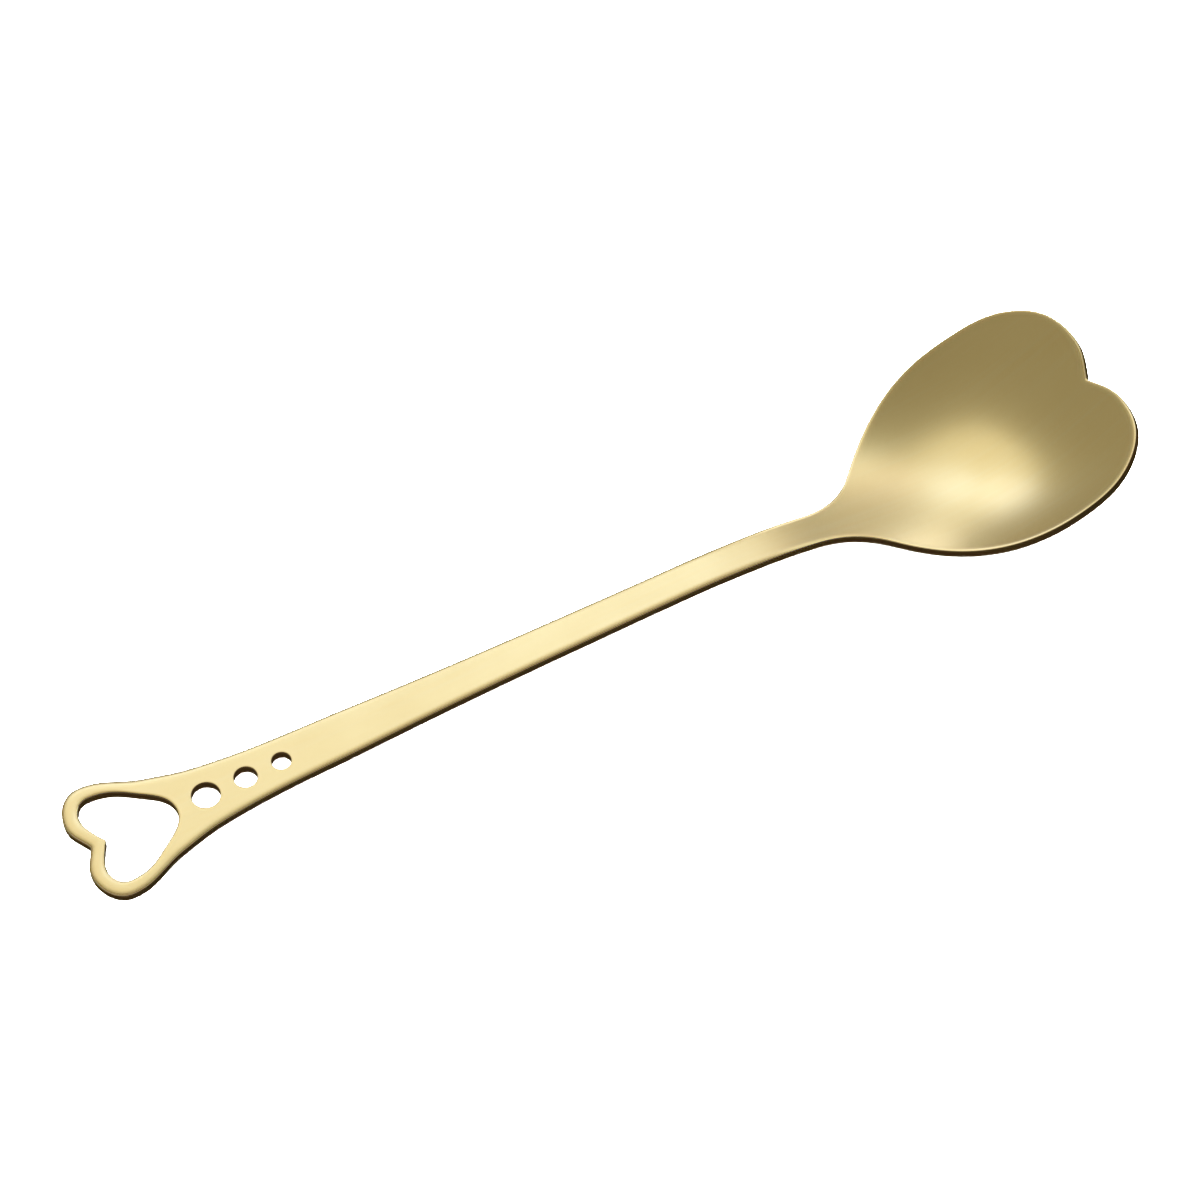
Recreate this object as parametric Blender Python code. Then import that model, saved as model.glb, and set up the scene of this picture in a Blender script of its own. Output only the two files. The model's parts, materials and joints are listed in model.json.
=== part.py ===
"""Heart-shaped dessert spoon, stamped and pressed from one sheet of gold-coated stainless steel.

A flat blank is cut from the sheet with a heart at each end, its edge is rounded, and the heart loop and
three round holes are punched in the handle. The blank is then bent down at the neck and dished into a
bowl. The spoon lies on a table, bowl up: +X runs from the handle end to the bowl tip, +Z is up, and the
origin is under the middle of its box. Lengths in the tables are in millimetres.
"""

import math

import bmesh
import bpy
import numpy as np
from mathutils import Matrix

MM = 0.001
SAME_PLACE = 1e-6  # metres
SLOPE_STEP = 0.05  # how far to each side, in millimetres, a slope is measured

# Sheet
HANDLE_THICKNESS = 1.4
BOWL_THICKNESS = 1.2
THINNING = (98.0, 122.0)
EDGE_RADIUS = 0.15

# Half of the outline in plan: x along the spoon from the notch of the handle's heart, y across, and the
# heading of the line there in degrees. Between two points runs a cubic whose handles are PULL times the
# distance between them.
PULL = 0.38
OUTLINE = (
    (-0.15, 0.0, 90.0),  # notch of the handle's heart
    (-0.25, 0.3, 116.0),
    (-1.8, 4.2, 90.0),  # end of its lobe
    (2.1, 9.1, 0.0),  # side of its lobe
    (10.4, 6.3, -15.8),
    (17.0, 4.7, -8.0),
    (39.0, 3.4, -2.4),
    (79.0, 2.55, -0.5),
    (107.7, 2.55, 0.0),  # neck
    (117.8, 6.6, 45.5),  # shoulder
    (139.6, 17.4, 0.0),  # widest place of the bowl
    (149.7, 14.7, -38.3),
    (153.6, 5.8, -90.0),  # end of the bowl's lobe
    (152.04, 0.2, -112.0),
    (152.0, 0.0, -90.0),  # notch of the bowl's heart
)
# Half of the heart opening, in the same form.
HEART_OPENING = (
    (2.1, 0.0, 90.0),
    (1.6, 0.9, 117.0),
    (0.4, 4.4, 90.0),
    (2.55, 6.95, 0.0),
    (8.2, 4.75, -37.0),
    (12.1, 0.0, -90.0),
)
# Round holes: place along the handle, diameter.
ROUND_HOLES = ((16.4, 3.8), (22.15, 3.1), (27.35, 2.6))

# Pressed form of the top face, above the plane of the flat handle: the height of the middle line, and
# the bowl's crosswise curve, which adds the second value times y squared.
MIDDLE_LINE = (
    (88.0, 0.0),
    (96.0, -0.3),
    (104.0, -1.15),
    (110.0, -2.4),
    (116.0, -3.6),
    (122.0, -4.5),
    (131.0, -4.85),
    (139.5, -3.1),
    (147.5, 1.15),
    (152.0, 4.35),
)
CROSS_CURVE = (
    (102.0, 0.0),
    (112.0, 0.0053),
    (122.0, 0.0108),
    (132.0, 0.0143),
    (140.0, 0.0144),
    (148.0, 0.0113),
    (154.0, 0.0082),
)

# Fineness. A run between two points of an outline is cut into steps that turn at most TURN_STEP degrees
# and are at most LONGEST_STEP long. Past SLICES_FROM the blank is cut into cells, which can bend.
TURN_STEP = 6.0
LONGEST_STEP = 8.0
LEAST_STEPS = 3
HOLE_SIDES = 32
EDGE_STEPS = 1
SLICES_FROM = 88.0
SLICE_ALONG = 2.0
SLICE_ACROSS = 2.5
SLICE_MARGIN = 1.0  # no cut runs nearer than this to the tip or to the widest place
LAST_PUNCHED = 32.0  # all the punched holes end before this place
LEVEL = 0.999  # a face is level when its normal's upward part is more than this
SHARP_ANGLE = 35.0
TILT_ROUNDS = 20

# Finish
GOLD = (0.86, 0.68, 0.36, 1.0)
GOLD_ROUGHNESS = 0.28


def clear_scene():
    for obj in list(bpy.data.objects):
        bpy.data.objects.remove(obj, do_unlink=True)


def new_collection(name):
    collection = bpy.data.collections.new(name)
    bpy.context.scene.collection.children.link(collection)
    return collection


def cubic(a, b, steps):
    """Points from node a up to, not at, node b, along the cubic between them."""
    (ax, ay, a_heading), (bx, by, b_heading) = a, b
    handle = PULL * math.hypot(bx - ax, by - ay)
    start, end = math.radians(a_heading), math.radians(b_heading)
    points = np.array(
        [
            (ax, ay),
            (ax + handle * math.cos(start), ay + handle * math.sin(start)),
            (bx - handle * math.cos(end), by - handle * math.sin(end)),
            (bx, by),
        ]
    )
    t = np.arange(steps)[:, None] / steps
    weights = ((1 - t) ** 3, 3 * (1 - t) ** 2 * t, 3 * (1 - t) * t**2, t**3)
    return sum(w * p for w, p in zip(weights, points))


def half_line(nodes):
    """Points through all the nodes, closer together where the line turns more."""
    runs = []
    for a, b in zip(nodes, nodes[1:]):
        length = math.hypot(b[0] - a[0], b[1] - a[1])
        turn = abs(b[2] - a[2])
        steps = max(LEAST_STEPS, round(turn / TURN_STEP), round(length / LONGEST_STEP))
        runs.append(cubic(a, b, steps))
    return np.vstack(runs + [np.array([nodes[-1][:2]])])


def mirrored(half):
    """The closed line made of a half and its mirror image, each end point once."""
    return np.vstack([half, half[-2:0:-1] * (1, -1)])


def smooth_line(points):
    """A function of x: the cubic spline through the points, level at and before the first one."""
    x, z = np.array(points).T
    gap, rise = np.diff(x), np.diff(z)
    count = len(x)
    matrix, right = np.zeros((count, count)), np.zeros(count)
    matrix[0, 0] = 1
    for i in range(1, count - 1):
        before, after = gap[i - 1], gap[i]
        matrix[i, i - 1 : i + 2] = 1 / before, 2 / before + 2 / after, 1 / after
        right[i] = 3 * (rise[i - 1] / before**2 + rise[i] / after**2)
    matrix[-1, -2:] = 1, 2
    right[-1] = 3 * rise[-1] / gap[-1]
    slope = np.linalg.solve(matrix, right)

    def height(at):
        at = np.maximum(at, x[0])
        i = np.clip(np.searchsorted(x, at) - 1, 0, count - 2)
        t = (at - x[i]) / gap[i]
        inside = (
            (2 * t**3 - 3 * t**2 + 1) * z[i]
            + (t**3 - 2 * t**2 + t) * gap[i] * slope[i]
            + (3 * t**2 - 2 * t**3) * z[i + 1]
            + (t**3 - t**2) * gap[i] * slope[i + 1]
        )
        beyond = z[-1] + (at - x[-1]) * slope[-1]
        return np.where(at > x[-1], beyond, inside)

    return height


def flat_curve(name, loop, half_height, rounding):
    """A filled 2D curve round the loop, standing half_height above and below the plane."""
    data = bpy.data.curves.new(name, "CURVE")
    data.dimensions = "2D"
    data.fill_mode = "BOTH"
    data.extrude = (half_height - rounding) * MM
    data.bevel_depth = rounding * MM
    data.bevel_resolution = EDGE_STEPS
    data.offset = -rounding * MM
    spline = data.splines.new("POLY")
    spline.points.add(len(loop) - 1)
    rows = np.zeros((len(loop), 4))
    rows[:, :2] = loop * MM
    rows[:, 3] = 1
    spline.points.foreach_set("co", rows.ravel())
    spline.use_cyclic_u = True
    return bpy.data.objects.new(name, data)


def as_closed_mesh(curve, collection):
    """Replaces a curve object with a mesh of the same form, its caps welded and its faces out."""
    bpy.context.scene.collection.objects.link(curve)
    bpy.context.view_layer.update()
    graph = bpy.context.evaluated_depsgraph_get()
    mesh = bpy.data.meshes.new_from_object(curve.evaluated_get(graph))
    work = bmesh.new()
    work.from_mesh(mesh)
    bmesh.ops.remove_doubles(work, verts=work.verts, dist=SAME_PLACE)
    bmesh.ops.recalc_face_normals(work, faces=work.faces)
    work.to_mesh(mesh)
    work.free()
    name = curve.name
    matrix = curve.matrix_world.copy()
    bpy.data.objects.remove(curve, do_unlink=True)
    obj = bpy.data.objects.new(name, mesh)
    obj.matrix_world = matrix
    collection.objects.link(obj)
    return obj


def make_blank(collection):
    """The flat blank with its rounded edge."""
    loop = mirrored(half_line(OUTLINE))
    curve = flat_curve("spoon", loop, HANDLE_THICKNESS / 2, EDGE_RADIUS)
    return as_closed_mesh(curve, collection)


def make_punches(collection):
    """The heart punch and the three round punches, longer than the sheet is thick."""
    loop = mirrored(half_line(HEART_OPENING))
    curve = flat_curve("heart_punch", loop, HANDLE_THICKNESS, 0.0)
    punches = [as_closed_mesh(curve, collection)]
    for number, (place, diameter) in enumerate(ROUND_HOLES, 1):
        mesh = bpy.data.meshes.new(f"round_punch_{number}")
        work = bmesh.new()
        radius = diameter / 2 * MM
        depth = 2 * HANDLE_THICKNESS * MM
        shift = Matrix.Translation((place * MM, 0, 0))
        bmesh.ops.create_cone(
            work,
            cap_ends=True,
            segments=HOLE_SIDES,
            radius1=radius,
            radius2=radius,
            depth=depth,
            matrix=shift,
        )
        work.to_mesh(mesh)
        work.free()
        punch = bpy.data.objects.new(mesh.name, mesh)
        collection.objects.link(punch)
        punches.append(punch)
    for punch in punches:
        punch.hide_render = True
        punch.display_type = "WIRE"
    return punches


def punch_out(blank, punches):
    """Cuts the punches out of the blank and keeps the result as its mesh."""
    for punch in punches:
        cut = blank.modifiers.new(punch.name, "BOOLEAN")
        cut.operation = "DIFFERENCE"
        cut.solver = "EXACT"
        cut.object = punch
    bpy.context.view_layer.update()
    graph = bpy.context.evaluated_depsgraph_get()
    mesh = bpy.data.meshes.new_from_object(blank.evaluated_get(graph))
    blank.modifiers.clear()
    blank.data = mesh


def cut_lines():
    """Where the flat blank is cut into cells: places along the spoon and places across it."""
    tip = max(x for x, _, _ in OUTLINE)
    widest = max(y for _, y, _ in OUTLINE)
    along = np.arange(SLICES_FROM, tip - SLICE_MARGIN, SLICE_ALONG)
    across = np.arange(0, widest - SLICE_MARGIN, SLICE_ACROSS)
    return along * MM, np.union1d(across, -across) * MM


def slice_for_bending(work):
    """Cuts lines across and along the neck and the bowl, so that the faces there can bend."""
    along, across = cut_lines()
    planes = [((x, 0, 0), (1, 0, 0)) for x in along]
    planes += [((0, y, 0), (0, 1, 0)) for y in across]
    for place, normal in planes:
        faces = [f for f in work.faces if f.calc_center_median().x > LAST_PUNCHED * MM]
        edges = {e for f in faces for e in f.edges}
        verts = {v for f in faces for v in f.verts}
        bmesh.ops.bisect_plane(
            work,
            geom=[*faces, *edges, *verts],
            dist=SAME_PLACE,
            plane_co=place,
            plane_no=normal,
        )


def drop_fill_lines(work):
    """Takes out the lines that filled the flat faces past the holes, and leaves the cut lines."""
    along, across = cut_lines()

    def on_cut(edge):
        ends = np.array([v.co for v in edge.verts])
        for axis, places in ((0, along), (1, across)):
            near = np.abs(ends[:, axis, None] - places) < 2 * SAME_PLACE
            if near.all(axis=0).any():
                return True
        return False

    def fills(edge):
        flat = all(abs(f.normal.z) > LEVEL for f in edge.link_faces)
        past = min(v.co.x for v in edge.verts) > LAST_PUNCHED * MM
        return flat and past and not on_cut(edge)

    lines = [e for e in work.edges if fills(e)]
    bmesh.ops.dissolve_edges(work, edges=lines, use_verts=True)


def press(points):
    """Bends the flat blank's points, in millimetres, to the pressed form, square to the sheet."""
    middle, cross = smooth_line(MIDDLE_LINE), smooth_line(CROSS_CURVE)
    x, y, level = points.T
    step = SLOPE_STEP

    def top(at):
        return middle(at) + cross(at) * y**2

    uphill_along = (top(x + step) - top(x - step)) / (2 * step)
    uphill_across = 2 * cross(x) * y
    normal = np.stack([-uphill_along, -uphill_across, np.ones_like(x)], 1)
    normal /= np.linalg.norm(normal, axis=1)[:, None]
    thin = BOWL_THICKNESS / HANDLE_THICKNESS
    start, end = THINNING
    share = 1 + (thin - 1) * np.clip((x - start) / (end - start), 0, 1)
    depth = (HANDLE_THICKNESS / 2 - level) * share
    return np.stack([x, y, top(x)], 1) - depth[:, None] * normal


def laid_down(points):
    """Tilts the spoon until its handle end and the belly of its bowl are level, and centres it."""
    halfway = points[:, 0].mean()
    tilt = 0.0
    for _ in range(TILT_ROUNDS):
        turned = points @ np.array(Matrix.Rotation(-tilt, 3, "Y")).T
        at_handle = turned[points[:, 0] < halfway]
        at_bowl = turned[points[:, 0] > halfway]
        low = at_handle[at_handle[:, 2].argmin()], at_bowl[at_bowl[:, 2].argmin()]
        tilt += math.atan2(low[0][2] - low[1][2], low[1][0] - low[0][0])
    middle = (turned.min(0) + turned.max(0)) / 2
    return turned - (middle[0], middle[1], turned[:, 2].min())


def form_sheet(blank):
    """Slices, presses and lays down the punched blank."""
    mesh = blank.data
    work = bmesh.new()
    work.from_mesh(mesh)
    slice_for_bending(work)
    drop_fill_lines(work)
    work.to_mesh(mesh)
    work.free()
    points = np.empty(len(mesh.vertices) * 3)
    mesh.vertices.foreach_get("co", points)
    points = laid_down(press(points.reshape(-1, 3) / MM)) * MM
    mesh.vertices.foreach_set("co", points.ravel())
    mesh.update()


def gold_finish():
    material = bpy.data.materials.new("satin_gold")
    material.use_nodes = True
    shader = material.node_tree.nodes["Principled BSDF"]
    shader.inputs["Base Color"].default_value = GOLD
    shader.inputs["Metallic"].default_value = 1.0
    shader.inputs["Roughness"].default_value = GOLD_ROUGHNESS
    return material


def build():
    clear_scene()
    spoon_parts = new_collection("dessert_spoon")
    punch_parts = new_collection("punches")
    spoon = make_blank(spoon_parts)
    punch_out(spoon, make_punches(punch_parts))
    form_sheet(spoon)
    spoon.data.materials.append(gold_finish())
    spoon.data.shade_smooth()
    spoon.data.set_sharp_from_angle(angle=math.radians(SHARP_ANGLE))


build()
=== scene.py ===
"""Looks of the heart-shaped dessert spoon: its sheet as one fine pressed surface with a satin gold
coating, on a pale floor under soft studio light.

The sheet is drawn flat first, in millimetres, with x from the notch of the handle's heart to the bowl.
Then it is pressed to its form and laid down in the frame, in metres, bowl up.
"""

import json
import math

import bpy
import numpy as np
from mathutils import Matrix, Vector


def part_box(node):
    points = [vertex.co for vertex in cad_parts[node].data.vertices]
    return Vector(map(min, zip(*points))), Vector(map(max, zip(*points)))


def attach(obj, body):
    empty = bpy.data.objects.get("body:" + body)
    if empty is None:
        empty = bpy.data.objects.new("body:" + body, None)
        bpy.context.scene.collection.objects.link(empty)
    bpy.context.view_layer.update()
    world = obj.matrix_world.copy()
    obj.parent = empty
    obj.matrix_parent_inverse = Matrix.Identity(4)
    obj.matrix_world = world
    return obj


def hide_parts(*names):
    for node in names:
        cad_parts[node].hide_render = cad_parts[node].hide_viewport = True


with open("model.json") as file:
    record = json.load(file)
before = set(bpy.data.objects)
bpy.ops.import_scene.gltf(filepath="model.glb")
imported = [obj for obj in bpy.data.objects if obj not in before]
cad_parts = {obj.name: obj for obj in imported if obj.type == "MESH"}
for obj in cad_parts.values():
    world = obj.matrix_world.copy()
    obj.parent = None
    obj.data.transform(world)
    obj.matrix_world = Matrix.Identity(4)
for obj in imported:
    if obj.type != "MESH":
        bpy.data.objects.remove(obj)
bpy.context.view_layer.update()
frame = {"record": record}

MM = 0.001
MICRON = 1e-6

# The sheet: its thickness in the handle and in the bowl, and where it thins from one to the other.
HANDLE_THICKNESS = 1.4
BOWL_THICKNESS = 1.2
THINNING = (98.0, 122.0)

# Half of the outline in plan: x, y and the heading of the line in degrees. Between two points runs a
# cubic whose handles are PULL times the distance between them.
PULL = 0.38
OUTLINE = (
    (-0.15, 0.0, 90.0),  # notch of the handle's heart
    (-0.25, 0.3, 116.0),
    (-1.8, 4.2, 90.0),  # end of its lobe
    (2.1, 9.1, 0.0),  # side of its lobe
    (10.4, 6.3, -15.8),
    (17.0, 4.7, -8.0),
    (39.0, 3.4, -2.4),
    (79.0, 2.55, -0.5),
    (107.7, 2.55, 0.0),  # neck
    (117.8, 6.6, 45.5),  # shoulder
    (139.6, 17.4, 0.0),  # widest place of the bowl
    (149.7, 14.7, -38.3),
    (153.6, 5.8, -90.0),  # end of the bowl's lobe
    (152.04, 0.2, -112.0),
    (152.0, 0.0, -90.0),  # notch of the bowl's heart
)
LOBE_END = 2  # places in OUTLINE
LOBE_SIDE = 3
WIDEST = 10
HEART_OPENING = (
    (2.1, 0.0, 90.0),
    (1.6, 0.9, 117.0),
    (0.4, 4.4, 90.0),
    (2.55, 6.95, 0.0),
    (8.2, 4.75, -37.0),
    (12.1, 0.0, -90.0),
)
PAIRED = 4  # up to this place the heart opening and the outline face each other place by place
# Round holes: place along the handle, diameter.
ROUND_HOLES = ((16.4, 3.8), (22.15, 3.1), (27.35, 2.6))

# Pressed form of the top face: height of the middle line, and the bowl's crosswise curve, which adds the
# second value times y squared.
MIDDLE_LINE = (
    (88.0, 0.0),
    (96.0, -0.3),
    (104.0, -1.15),
    (110.0, -2.4),
    (116.0, -3.6),
    (122.0, -4.5),
    (131.0, -4.85),
    (139.5, -3.1),
    (147.5, 1.15),
    (152.0, 4.35),
)
CROSS_CURVE = (
    (102.0, 0.0),
    (112.0, 0.0053),
    (122.0, 0.0108),
    (132.0, 0.0143),
    (140.0, 0.0144),
    (148.0, 0.0113),
    (154.0, 0.0082),
)
SLOPE_STEP = 0.05  # the slope along the spoon is taken from this far ahead and behind

# Rounded edges, as width and depth. Polishing has drawn the outer edge down over a wide band, widest at
# the heart loop, where it crowns the metal. Punched edges stay crisp, but for the heart opening's lobes.
LOOP_EDGE = (1.2, 0.33)
HANDLE_EDGE = (1.0, 0.28)
BOWL_EDGE = (0.62, 0.17)
LOOP_TO_HANDLE = (4.0, 24.0)  # where the loop's edge goes over to the handle's
HANDLE_TO_BOWL = (96.0, 116.0)
LOWER_EDGE = 0.25
HEART_EDGES = (  # at the points of HEART_OPENING
    (0.3, 0.15),
    (0.35, 0.15),
    (0.85, 0.24),
    (0.7, 0.2),
    (0.3, 0.15),
    (0.3, 0.15),
)
HOLE_EDGE = (0.1, 0.1)
SOLID_EDGE = 0.15  # of the plain solid in the frame
BEND = 0.75  # how far out on a rounding it bends most

# Fineness of the surface. Spokes cross its faces from the openings and the middle line to the outline.
RINGS = 20  # points of a spoke between its two ends
HEART_SPOKES = (10, 24, 36, 30, 32)  # between the points of HEART_OPENING
HOLE_SPOKES = 48  # round half of a round hole
ROUND_STEPS = 12  # on each rounding of an edge
WALL_STEPS = 3  # between its roundings
LEAN = 0.85  # how far the spokes beside a round hole lean away from it
SEAM_WIDTH = 0.07  # the first and last ring lie this far inside the rounded edges
SEAM_SHARE = 0.2  # or this share of the spoke, if that is less
LOOKUP_POINTS = 4000  # of the outline, among which a spoke's outer end is looked up
ON_MIDDLE = 1e-9  # what is closer to the middle line lies on it
WELD = 2e-7  # metres, within which points become one

# Gaps between the spokes that start on the middle line. From NECK on they stand closer.
NECK = 96.0
HOLE_GAP = 0.3
HANDLE_GAP = 0.9
BOWL_GAP = 0.4
LOBE_GAP = 0.13

# Where the camera stands, as degrees over and round the flat handle, and its distance in millimetres
# from the notch of the handle's heart, which the picture shows at NOTCH_PLACE in its PICTURE pixels.
CAMERA_OVER = 55.28
CAMERA_ROUND = 28.19
CAMERA_ROLL = -0.49
CAMERA_DISTANCE = 504.4
PICTURE = 1200
NOTCH_PLACE = (91.03, 846.57)
FOCAL_PIXELS = 3899.0
SENSOR = 36.0

# Light. Round soft lights: degrees down from the flat handle's normal, degrees round from the spoon's
# length towards its far side, half width in degrees, and strength in red, green and blue, where 1 is white.
SOFT_LIGHTS = {
    "high_light": (33.2, 79.1, 24.7, (0.69, 0.725, 0.655)),
    "far_light": (50.7, 83.0, 10.2, (0.51, 0.695, 1.14)),
    "round_light": (38.5, 59.0, 9.0, (0.38, 0.6, 1.1)),
    "neck_light": (41.0, 30.0, 9.0, (0.47, 0.41, 0.48)),
    "bowl_light": (42.9, 15.4, 9.8, (0.95, 1.2, 1.25)),
    "edge_light": (67.3, 51.7, 9.0, (2.08, 2.3, 2.75)),
}
# The room is lit round a direction, given as above, and darkens where the cosine of the angle from it
# falls from ROOM_EDGE's second value to the first.
ROOM_SIDE = (27.0, 114.6)
ROOM_EDGE = (0.34, 0.6)
ROOM_LIGHT = (0.333, 0.313, 0.229, 1.0)
DARK_SIDE = (0.04, 0.029, 0.021, 1.0)
FLOOR_LIGHT = (30.0, 30.0, 30.0)
FLOOR_LIGHT_RADIUS = 50.0
LIGHT_DISTANCE = 3.0  # metres
FLOOR_SIDE = 6.0  # metres
FLOOR_PAINT = (0.9, 0.9, 0.9, 1.0)
FLOOR_ROUGHNESS = 0.9

# Marks of the finish as noise: grains to the metre along x, y and z, radians turned about z, and detail.
GRAINS = {
    "clouds": ((85, 150, 150), 0.0, 3.0),
    "lines": ((70, 5200, 70), 0.0, 1.0),
    "long_lines": ((38, 1500, 38), 0.02, 2.0),
    "waves": ((260, 330, 330), 0.0, 1.0),
    "shear": ((5200, 5200, 260), 0.0, 1.0),
}
# Marks as hairlines: cells to the metre, radians turned, and the share of the surface that keeps them.
HAIRLINES = {
    "scratches": ((36, 420, 36), 0.05, 0.4),
    "crossing": ((52, 380, 52), -0.35, 0.34),
}
HAIRLINE_STRETCHES = (70, 500, 70)  # to the metre
HAIRLINE_WIDTH = 0.05  # of a cell

GOLD = (0.87, 0.69, 0.37, 1.0)
# DEEP_GOLD is also used on the walls, through TINTS, as painted shade
DEEP_GOLD = (0.80, 0.60, 0.28, 1.0)
WORN_GOLD = (0.89, 0.78, 0.53, 1.0)  # where the coating is thin
# Tints laid over GOLD in turn: shares of the marks, what their sum rises from and to, the tint's share
# there, and its colour.
TINTS = (
    ({"clouds": 1.0}, (0.3, 0.75), 0.35, DEEP_GOLD),
    ({"long_lines": 1.0}, (0.45, 0.8), 0.13, WORN_GOLD),
    ({"edge": 0.55, "clouds": 0.25}, (0.3, 0.75), 0.6, WORN_GOLD),
    # painted shade: the walls are darkened towards DEEP_GOLD
    ({"wall": 1.0}, (0.0, 1.0), 0.7, DEEP_GOLD),
)
ROUGHNESS = 0.26  # without marks
ROUGHENING = {  # what each mark adds
    "clouds": 0.05,
    "lines": 0.008,
    "long_lines": 0.015,
    "scratches": 0.012,
    "crossing": 0.01,
    "edge": -0.07,
    "wall": 0.1,
}
# Height of the marks in microns, sunk where it is less than 0. Shear lines are on the walls alone.
RELIEF = {"waves": 0.5, "long_lines": 0.15, "lines": 0.03, "scratches": -0.08, "crossing": -0.06}
SHEAR_RELIEF = 6.0


def line_through(nodes, place):
    """Points and unit directions on the line through the nodes. The whole part of place is the run and
    its fraction t is how far along it: (1-t)^3 a + 3(1-t)^2 t b + 3(1-t) t^2 c + t^3 d, where b and c
    lie PULL times the run's length ahead of a and behind d."""
    nodes = np.array(nodes)
    run = np.clip(np.floor(place).astype(int), 0, len(nodes) - 2)
    t = (place - run)[:, None]
    first, last = nodes[run, :2], nodes[run + 1, :2]
    reach = PULL * np.linalg.norm(last - first, axis=1)[:, None]
    start, end = np.radians(nodes[run, 2]), np.radians(nodes[run + 1, 2])
    second = first + reach * np.stack([np.cos(start), np.sin(start)], 1)
    third = last - reach * np.stack([np.cos(end), np.sin(end)], 1)
    s = 1 - t
    point = s**3 * first + 3 * s**2 * t * second + 3 * s * t**2 * third + t**3 * last
    ahead = s**2 * (second - first) + 2 * s * t * (third - second) + t**2 * (last - third)
    return point, ahead / np.linalg.norm(ahead, axis=1)[:, None]


def smooth_line(points):
    """A function of x: the cubic spline through the points, level at and before the first one."""
    x, z = np.array(points).T
    gap, rise = np.diff(x), np.diff(z)
    count = len(x)
    matrix, right = np.zeros((count, count)), np.zeros(count)
    matrix[0, 0] = 1
    inner = np.arange(1, count - 1)
    matrix[inner, inner - 1] = 1 / gap[:-1]
    matrix[inner, inner] = 2 / gap[:-1] + 2 / gap[1:]
    matrix[inner, inner + 1] = 1 / gap[1:]
    right[inner] = 3 * (rise[:-1] / gap[:-1] ** 2 + rise[1:] / gap[1:] ** 2)
    matrix[-1, -2:] = 1, 2
    right[-1] = 3 * rise[-1] / gap[-1]
    slope = np.linalg.solve(matrix, right)

    def height(at):
        at = np.maximum(at, x[0])
        i = np.clip(np.searchsorted(x, at) - 1, 0, count - 2)
        t = (at - x[i]) / gap[i]
        inside = (
            (2 * t**3 - 3 * t**2 + 1) * z[i]
            + (t**3 - 2 * t**2 + t) * gap[i] * slope[i]
            + (3 * t**2 - 2 * t**3) * z[i + 1]
            + (t**3 - t**2) * gap[i] * slope[i + 1]
        )
        beyond = z[-1] + (at - x[-1]) * slope[-1]
        return np.where(at > x[-1], beyond, inside)

    return height


MIDDLE = smooth_line(MIDDLE_LINE)
CROSS = smooth_line(CROSS_CURVE)


def press(x, y, depth):
    """The pressed place of a point of the flat sheet that lies depth under its top face: the point
    (x, y, middle(x) + cross(x) y^2) less depth times the unit normal there. Depth shrinks with the
    sheet's thickness from the handle to the bowl."""
    top, ahead, behind = (MIDDLE(at) + CROSS(at) * y**2 for at in (x, x + SLOPE_STEP, x - SLOPE_STEP))
    normal = np.stack([-(ahead - behind) / (2 * SLOPE_STEP), -2 * CROSS(x) * y, np.ones_like(x)], -1)
    normal /= np.linalg.norm(normal, axis=-1, keepdims=True)
    start, end = THINNING
    thinned = BOWL_THICKNESS / HANDLE_THICKNESS - 1
    share = 1 + thinned * np.clip((x - start) / (end - start), 0, 1)
    return np.stack([x, y, top], -1) - (depth * share)[..., None] * normal


def resting_place():
    """The tilt and the shift that lay the spoon down. The tilt and the height come from the flat top of
    the handle in the record. The shift along x comes from the end of the node's box, where the wall of
    the handle's lobe stands: turned, its upper end lies at end cos(tilt) + SOLID_EDGE sin(tilt)."""
    mount = next(m for m in frame["record"]["mounts"] if m["name"] == "handle_top")
    normal, point = np.array(mount["axis"]), np.array(mount["pos_m"]) / MM
    tilt = math.atan2(-normal[0], normal[2])
    end = OUTLINE[LOBE_END][0]
    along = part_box("spoon")[0][0] / MM - end * math.cos(tilt) - SOLID_EDGE * math.sin(tilt)
    up = (normal @ point - normal[0] * along) / normal[2]
    return np.array(Matrix.Rotation(-tilt, 3, "Y")), np.array([along, 0.0, up])


TURN, SHIFT = resting_place()


def lay_down(points):
    """Points of the pressed sheet, in millimetres, as places in the frame, in metres."""
    return (points @ TURN.T + SHIFT) * MM


def ease(share):
    """A column of shares t, held from 0 to 1 and eased as t^2 (3 - 2t)."""
    t = np.clip(share, 0, 1)[:, None]
    return t * t * (3 - 2 * t)


def edge_size(x):
    """Width and depth of the outer edge's upper rounding: the loop's goes over to the handle's on the
    flared end of the handle, and the handle's to the bowl's over the neck, both eased."""
    loop, handle, bowl = map(np.array, (LOOP_EDGE, HANDLE_EDGE, BOWL_EDGE))
    flare, neck = (ease((x - start) / (end - start)) for start, end in (LOOP_TO_HANDLE, HANDLE_TO_BOWL))
    return loop + (handle - loop) * flare + (bowl - handle) * neck


def eased(values, place):
    """Rows of values at the places between them, eased from one row to the next."""
    values = np.array(values)
    run = np.clip(np.floor(place).astype(int), 0, len(values) - 2)
    return values[run] + (values[run + 1] - values[run]) * ease(place - run)


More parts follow.
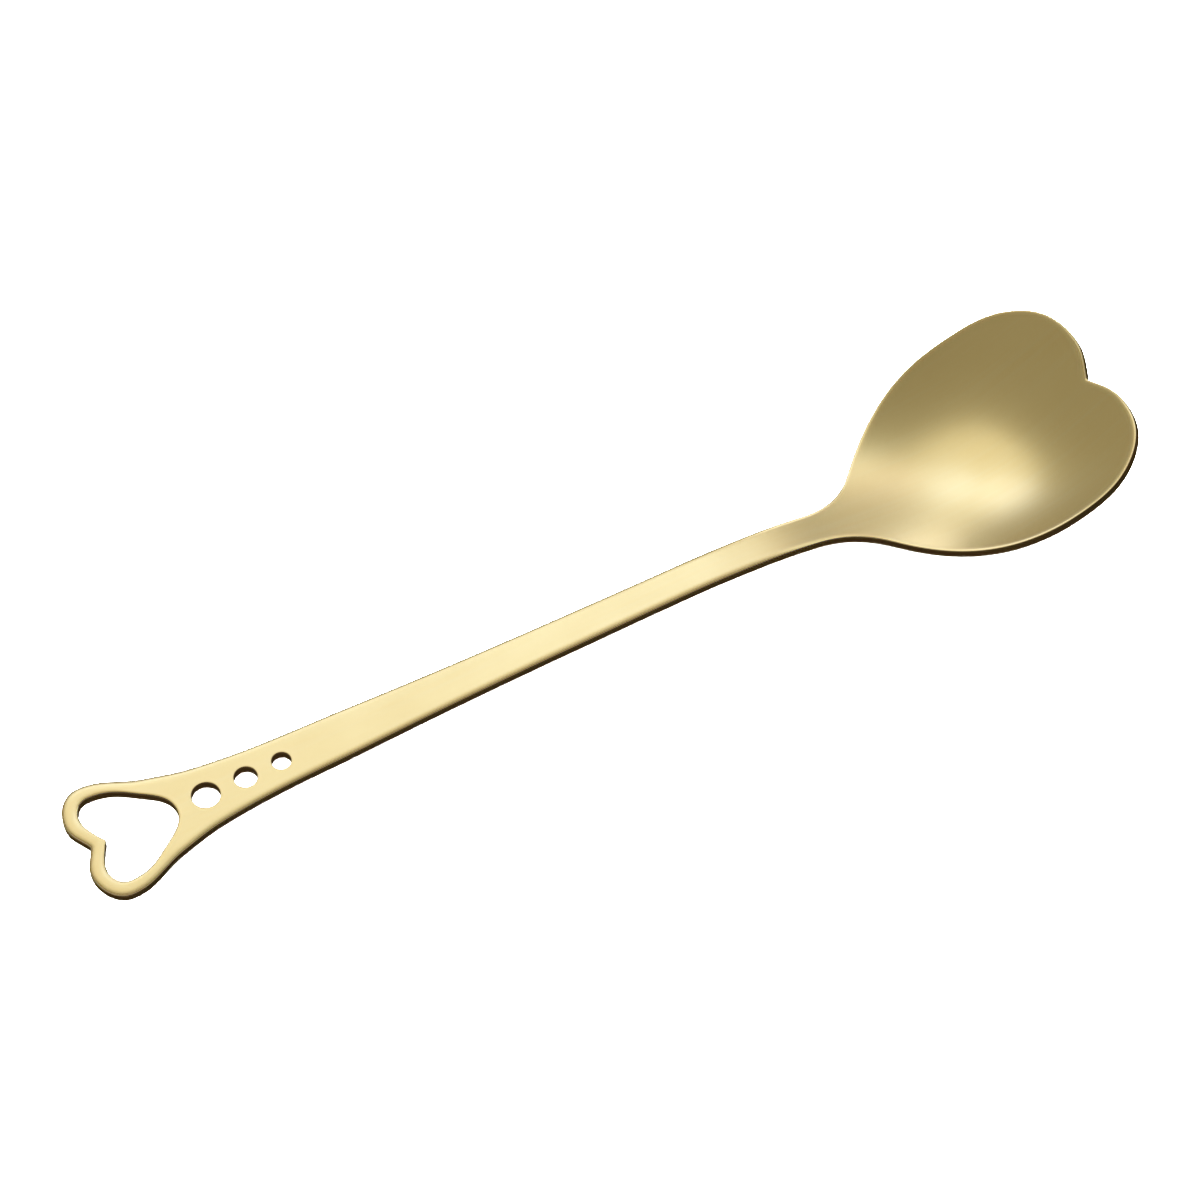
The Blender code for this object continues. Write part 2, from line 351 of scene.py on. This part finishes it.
def spokes():
    """The stretches that the flat faces are ruled in, on the half y >= 0, from an inner line to the
    outline. The inner line follows the heart opening, the middle of the handle and the round holes in
    turn, up to the notch of the bowl. Each stretch gives its points at the top face and at the under
    face, the way out of the metal and the edge's sizes if it is an opening, and the outline's places
    that face it."""
    fine = np.linspace(LOBE_SIDE, WIDEST, LOOKUP_POINTS)
    outer_x = line_through(OUTLINE, fine)[0][:, 0]

    def facing(x):
        """The outline's place beside x."""
        return np.interp(x, outer_x, fine)

    runs = [np.linspace(i, i + 1, count, endpoint=False) for i, count in enumerate(HEART_SPOKES)]
    place = np.append(np.concatenate(runs), len(HEART_SPOKES))
    heart, ahead = line_through(HEART_OPENING, place)
    into = np.stack([ahead[:, 1], -ahead[:, 0]], 1)
    last = facing(heart[-1, 0] + LEAN)
    opposite = np.where(place <= PAIRED, place, PAIRED + (place - PAIRED) * (last - PAIRED))
    parts = [(heart, heart, into, eased(HEART_EDGES, place), opposite)]

    at, edge = heart[-1, 0] + np.array(HEART_EDGES[-1]), np.array(HOLE_EDGE)
    angle = np.linspace(np.pi, 0, HOLE_SPOKES + 1)
    away = np.stack([np.cos(angle), np.sin(angle)], 1)
    away[[0, -1], 1] = 0
    for middle, diameter in ROUND_HOLES:
        hole = (middle, 0) + diameter / 2 * away
        last, opposite = opposite[-1], facing(middle + (diameter / 2 + LEAN) * away[:, 0])
        parts.append(stretch(at, hole[0, 0] - edge, (last, opposite[0]), HOLE_GAP))
        parts.append((hole, hole, -away, np.tile(edge, (len(hole), 1)), opposite))
        at = hole[-1, 0] + edge

    widest, notch = OUTLINE[WIDEST][0], OUTLINE[-1][0]
    end = notch - BOWL_EDGE[0], notch - LOWER_EDGE
    parts.append(stretch(at, (NECK, NECK), (opposite[-1], facing(NECK)), HANDLE_GAP))
    parts.append(stretch((NECK, NECK), (widest, widest), (facing(NECK), WIDEST), BOWL_GAP))
    parts.append(stretch((widest, widest), end, (WIDEST, len(OUTLINE) - 1), LOBE_GAP))
    return parts


def stretch(start, end, faced, gap):
    """A stretch of the middle line, its points about gap apart, with no edge of its own. start and end
    each hold a place on the top face and one on the under face, where the edges' roundings meet it."""
    share = np.linspace(0, 1, max(3, round((end[0] - start[0]) / gap)))
    top, under = (np.stack([a + (b - a) * share, 0 * share], 1) for a, b in zip(start, end))
    return top, under, None, None, faced[0] + (faced[1] - faced[0]) * share


def rim_profile(size, lower):
    """Across an edge, from the top face to the under face: how far each line lies out from the edge's
    widest place, and how deep under the top face. The upper part is a quarter of an ellipse of the given
    widths and depths, one of each for every place along the edge, the lower part is a quarter of a circle
    of the radius lower, and between them is the wall."""
    width, depth = size[:, :1], size[:, 1:]
    angle = np.linspace(0, np.pi / 2, ROUND_STEPS + 1)
    wall = np.linspace(0, 1, WALL_STEPS + 2)[1:-1]
    out = [width * (np.sin(angle) - 1), 0 * width + 0 * wall, 0 * width + lower * (np.cos(angle) - 1)]
    last = HANDLE_THICKNESS - lower
    end = 0 * depth + last + lower * np.sin(angle)
    return np.hstack(out), np.hstack([depth * (1 - np.cos(angle)), depth + (last - depth) * wall, end])


class Sheet:
    """Grids of flat places and depths, gathered until the mesh is made."""

    def __init__(self):
        self.points, self.marks, self.faces, self.count = [], [], [], 0

    def add(self, x, y, depth, edge, wall):
        """Adds a grid and its faces, four corners each, wound to face out on the half y >= 0, and its
        mirror image, wound the other way. edge and wall mark how far a place is on an edge or a wall."""
        rows, columns = x.shape
        corner = np.arange(rows * columns).reshape(rows, columns)
        around = [corner[:-1, :-1], corner[1:, :-1], corner[1:, 1:], corner[:-1, 1:]]
        quads = np.stack([c.ravel() for c in around], 1)
        for side in (1, -1):
            self.points.append(lay_down(press(x, side * y, depth)).reshape(-1, 3))
            self.marks.append(np.stack([edge + 0 * x, wall + 0 * x], -1).reshape(-1, 2))
            self.faces.append((quads if side > 0 else quads[:, ::-1]) + self.count)
            self.count += rows * columns

    def mesh(self, name):
        """The closed mesh: places that coincide become one point, and corners that meet are dropped."""
        points, marks, quads = map(np.vstack, (self.points, self.marks, self.faces))
        points = np.clip(points, *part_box("spoon"))  # trims a few thousandths of a millimetre
        _, keep, where = np.unique(
            np.round(points / WELD).astype(np.int64), axis=0, return_index=True, return_inverse=True
        )
        quads = where.ravel()[quads]
        same = quads == np.roll(quads, -1, 1)
        faces = [q[~s].tolist() for q, s in zip(quads[same.any(1)], same[same.any(1)])]
        faces = [f for f in faces if len(set(f)) > 2] + quads[~same.any(1)].tolist()
        data = bpy.data.meshes.new(name)
        data.from_pydata(points[keep], [], faces)
        for mark, values in zip(("edge", "wall"), marks[keep].T):
            data.attributes.new(mark, "FLOAT", "POINT").data.foreach_set("value", values)
        data.shade_smooth()
        data.validate()
        return data


def make_spoon():
    """The spoon's surface: top face and under face ruled between inner and outer line, and a rim swept
    round the outline and round each opening."""
    sheet = Sheet()
    for top, under, into, sizes, opposite in spokes():
        outer, ahead = line_through(OUTLINE, opposite)
        out = np.stack([-ahead[:, 1], ahead[:, 0]], 1)
        out[np.abs(outer[:, 1]) < ON_MIDDLE, 1] = 0
        across, deep = rim_profile(edge_size(outer[:, 0]), LOWER_EDGE)
        rim = outer[:, None] + across[..., None] * out[:, None]
        add_rim(sheet, rim, deep, False)
        if into is not None:
            across, deep = rim_profile(sizes, sizes[-1, 1])
            hole = top[:, None] + across[..., None] * into[:, None]
            add_rim(sheet, hole, deep, True)
            top, under = hole[:, 0], hole[:, -1]
        for depth, start, end in ((0, top, rim[:, 0]), (HANDLE_THICKNESS, under, rim[:, -1])):
            length = np.linalg.norm(end - start, axis=1)[:, None]
            seam = np.minimum(SEAM_WIDTH / np.maximum(length, SEAM_WIDTH), SEAM_SHARE)
            ring = seam + (1 - 2 * seam) * np.linspace(0, 1, RINGS)
            ring = np.hstack([0 * seam, ring, 0 * seam + 1])
            grid = start[:, None] + ring[..., None] * (end - start)[:, None]
            if depth:
                grid = grid[:, ::-1]
            sheet.add(grid[..., 0], grid[..., 1], depth + 0 * ring, 0.0, 0.0)
    return sheet.mesh("spoon_sheet")


def add_rim(sheet, rim, deep, opening):
    """Adds the band of an edge. Its marks rise and fall evenly: edge is 1 where a rounding bends most, and
    wall is 1 between the roundings."""
    steps = rim.shape[1]
    line = np.arange(steps)
    way_out = np.minimum(line, steps - 1 - line) / ROUND_STEPS
    edge = np.clip(1 - np.abs(way_out - BEND) / (1 - BEND), 0, 1)
    wall = np.clip((way_out - BEND) / (1 - BEND), 0, 1)
    if opening:
        rim, deep, edge, wall = rim[:, ::-1], deep[:, ::-1], edge[::-1], wall[::-1]
    sheet.add(rim[..., 0], rim[..., 1], deep, edge, wall)


def feed(tree, socket, value):
    """Links an input to another node's output, or sets it to a value."""
    if isinstance(value, bpy.types.NodeSocket):
        tree.links.new(value, socket)
    else:
        socket.default_value = value


def node(tree, kind, **settings):
    """A shader node with its settings and inputs. A word's underscore is a space in an input's name."""
    made = tree.nodes.new(kind)
    for key, value in settings.items():
        name = key.replace("_", " ")
        if name in made.inputs:
            feed(tree, made.inputs[name], value)
        else:
            setattr(made, key, value)
    return made


def mixed(tree, factor, first, second):
    """A colour between two others."""
    mix = node(tree, "ShaderNodeMix", data_type="RGBA", Factor=factor, A=first, B=second)
    return mix.outputs["Result"]


def ranged(tree, value, first, last, to_first, to_last):
    """A value's range from first to last laid on another range and held at its ends."""
    ends = {"From_Min": first, "From_Max": last, "To_Min": to_first, "To_Max": to_last}
    return node(tree, "ShaderNodeMapRange", Value=value, **ends).outputs["Result"]


def sums(tree, start, marks, shares):
    """A number plus the marks, each times its share."""
    total = start
    for name, share in shares.items():
        made = node(tree, "ShaderNodeMath", operation="MULTIPLY_ADD")
        for socket, value in zip(made.inputs, (marks[name], share, total)):
            feed(tree, socket, value)
        total = made.outputs["Value"]
    return total


def grain(tree, place, scale, turned, detail):
    """Noise from 0 to 1, its grains that many to the metre along x, y and z."""
    laid = node(tree, "ShaderNodeMapping", Vector=place, Scale=scale, Rotation=(0, 0, turned))
    noise = node(tree, "ShaderNodeTexNoise", Vector=laid.outputs["Vector"], Scale=1.0, Detail=detail)
    return noise.outputs["Fac"]


def hairlines(tree, place, scale, turned, share):
    """Thin lines on the borders of long cells, 1 on a line, kept in stretches on about that share of the
    surface."""
    laid = node(tree, "ShaderNodeMapping", Vector=place, Scale=scale, Rotation=(0, 0, turned))
    cells = node(tree, "ShaderNodeTexVoronoi", feature="DISTANCE_TO_EDGE", Scale=1.0)
    feed(tree, cells.inputs["Vector"], laid.outputs["Vector"])
    line = ranged(tree, cells.outputs["Distance"], 0.0, HAIRLINE_WIDTH, 1.0, 0.0)
    stretches = grain(tree, place, HAIRLINE_STRETCHES, turned, 0.0)
    kept = ranged(tree, stretches, 1 - share, 1.1 - share, 0.0, 1.0)
    made = node(tree, "ShaderNodeMath", operation="MULTIPLY")
    feed(tree, made.inputs[0], line)
    feed(tree, made.inputs[1], kept)
    return made.outputs["Value"]


def satin_gold():
    """Gold coating on polished steel: polishing lines along the spoon, clouding of colour and gloss, a few
    hairline scratches, worn and smoother rounded edges, and duller punched walls with shear lines, whose
    colour is pulled towards a deeper gold as painted shade."""
    material = bpy.data.materials.new("satin_gold")
    material.use_nodes = True
    tree = material.node_tree
    shader = tree.nodes["Principled BSDF"]
    place = node(tree, "ShaderNodeTexCoord").outputs["Object"]
    marks = {name: grain(tree, place, *settings) for name, settings in GRAINS.items()}
    for name, settings in HAIRLINES.items():
        marks[name] = hairlines(tree, place, *settings)
    for name in ("edge", "wall"):
        marks[name] = node(tree, "ShaderNodeAttribute", attribute_name=name).outputs["Fac"]

    colour = GOLD
    for shares, (first, last), most, tint in TINTS:
        amount = ranged(tree, sums(tree, 0.0, marks, shares), first, last, 0.0, most)
        colour = mixed(tree, amount, colour, tint)
    feed(tree, shader.inputs["Base Color"], colour)
    feed(tree, shader.inputs["Roughness"], sums(tree, ROUGHNESS, marks, ROUGHENING))
    feed(tree, shader.inputs["Metallic"], 1.0)

    normal = None
    for name, microns in RELIEF.items():
        bump = node(tree, "ShaderNodeBump", invert=microns < 0, Height=marks[name], Strength=1.0)
        feed(tree, bump.inputs["Distance"], abs(microns) * MICRON)
        if normal is not None:
            feed(tree, bump.inputs["Normal"], normal)
        normal = bump.outputs["Normal"]
    cut = node(tree, "ShaderNodeBump", Height=marks["shear"], Strength=marks["wall"], Normal=normal)
    feed(tree, cut.inputs["Distance"], SHEAR_RELIEF * MICRON)
    feed(tree, shader.inputs["Normal"], cut.outputs["Normal"])
    return material


def direction(down, turned):
    """The direction (sin d cos t, sin d sin t, cos d) of the flat handle, laid down with it: d is the
    degrees down from its normal and t the degrees turned."""
    down, turned = math.radians(down), math.radians(turned)
    flat = math.sin(down) * math.cos(turned), math.sin(down) * math.sin(turned), math.cos(down)
    return Vector(TURN @ flat)


def soft_light(name, down, turned, radius, strength):
    """A round light LIGHT_DISTANCE off, radius degrees wide to each side. Its power in watts is pi times
    its area times its strength."""
    data = bpy.data.lights.new(name, "AREA")
    data.shape = "DISK"
    data.size = 2 * LIGHT_DISTANCE * math.tan(math.radians(radius))
    area = math.pi * (data.size / 2) ** 2
    data.energy = max(strength) * area * math.pi
    data.color = [s / max(strength) for s in strength]
    light = bpy.data.objects.new(name, data)
    towards = direction(down, turned)
    light.location = towards * LIGHT_DISTANCE
    light.rotation_euler = towards.to_track_quat("Z", "Y").to_euler()
    light.visible_camera = False
    bpy.context.scene.collection.objects.link(light)
    return light


def surround():
    """A dim, warm room round ROOM_SIDE, almost dark on its other side: its colour goes from DARK_SIDE to
    ROOM_LIGHT as t^2 (3 - 2t) while the cosine of the angle from ROOM_SIDE crosses ROOM_EDGE."""
    world = bpy.data.worlds.new("surround")
    world.use_nodes = True
    tree = world.node_tree
    cosine = node(tree, "ShaderNodeVectorMath", operation="DOT_PRODUCT")
    feed(tree, cosine.inputs[0], node(tree, "ShaderNodeTexCoord").outputs["Generated"])
    feed(tree, cosine.inputs[1], direction(*ROOM_SIDE))
    rise = node(tree, "ShaderNodeMapRange", interpolation_type="SMOOTHSTEP", Value=cosine.outputs["Value"])
    for name, end in zip(("From Min", "From Max"), ROOM_EDGE):
        feed(tree, rise.inputs[name], end)
    background = tree.nodes["Background"]
    feed(tree, background.inputs["Strength"], 1.0)
    feed(tree, background.inputs["Color"], mixed(tree, rise.outputs["Result"], DARK_SIDE, ROOM_LIGHT))
    bpy.context.scene.world = world


def pale_floor():
    """A square floor, which the metal doesn't mirror."""
    paint = bpy.data.materials.new("pale_floor")
    paint.use_nodes = True
    shader = paint.node_tree.nodes["Principled BSDF"]
    feed(paint.node_tree, shader.inputs["Base Color"], FLOOR_PAINT)
    feed(paint.node_tree, shader.inputs["Roughness"], FLOOR_ROUGHNESS)
    data = bpy.data.meshes.new("floor")
    side = FLOOR_SIDE / 2
    data.from_pydata([(-side, -side, 0), (side, -side, 0), (side, side, 0), (-side, side, 0)], [], [range(4)])
    data.materials.append(paint)
    floor = bpy.data.objects.new("floor", data)
    floor.visible_glossy = False
    floor.visible_shadow = False
    bpy.context.scene.collection.objects.link(floor)
    return floor


def studio():
    """The room, the soft lights and the floor, with one wide light above that lights the floor alone."""
    bpy.context.scene.view_settings.view_transform = "Standard"
    surround()
    for name, settings in SOFT_LIGHTS.items():
        soft_light(name, *settings)
    above = soft_light("floor_light", 0, 0, FLOOR_LIGHT_RADIUS, FLOOR_LIGHT)
    above.light_linking.receiver_collection = bpy.data.collections.new("lit_from_above")
    above.light_linking.receiver_collection.objects.link(pale_floor())


def photo_camera():
    """The camera at the photograph's angle: it looks CAMERA_OVER degrees down on the flat handle from
    CAMERA_ROUND degrees round from its side, and the notch of the handle's heart is seen at
    NOTCH_PLACE, CAMERA_DISTANCE away along the line of sight."""
    over, turn, roll = map(math.radians, (CAMERA_OVER, CAMERA_ROUND, CAMERA_ROLL))
    right = np.array([math.cos(turn), -math.sin(turn), 0])
    back = np.array([-math.sin(turn) * math.cos(over), -math.cos(turn) * math.cos(over), math.sin(over)])
    up = np.cross(back, right)
    right, up = math.cos(roll) * right + math.sin(roll) * up, math.cos(roll) * up - math.sin(roll) * right
    per_mm = FOCAL_PIXELS / CAMERA_DISTANCE
    aside = (NOTCH_PLACE[0] - PICTURE / 2) / per_mm
    below = (NOTCH_PLACE[1] - PICTURE / 2) / per_mm
    centre = back * CAMERA_DISTANCE - right * aside + up * below
    data = bpy.data.cameras.new("photo_camera")
    data.sensor_width = SENSOR
    data.lens = FOCAL_PIXELS / PICTURE * SENSOR
    camera = bpy.data.objects.new("photo_camera", data)
    axes = Matrix((TURN @ np.stack([right, up, back], 1)).tolist()).to_4x4()
    camera.matrix_world = Matrix.Translation(Vector(lay_down(centre))) @ axes
    bpy.context.scene.collection.objects.link(camera)
    bpy.context.scene.camera = camera


photo_camera()
studio()
spoon = bpy.data.objects.new("spoon_sheet", make_spoon())
bpy.context.scene.collection.objects.link(spoon)
spoon.data.materials.append(satin_gold())
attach(spoon, "root")
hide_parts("spoon")
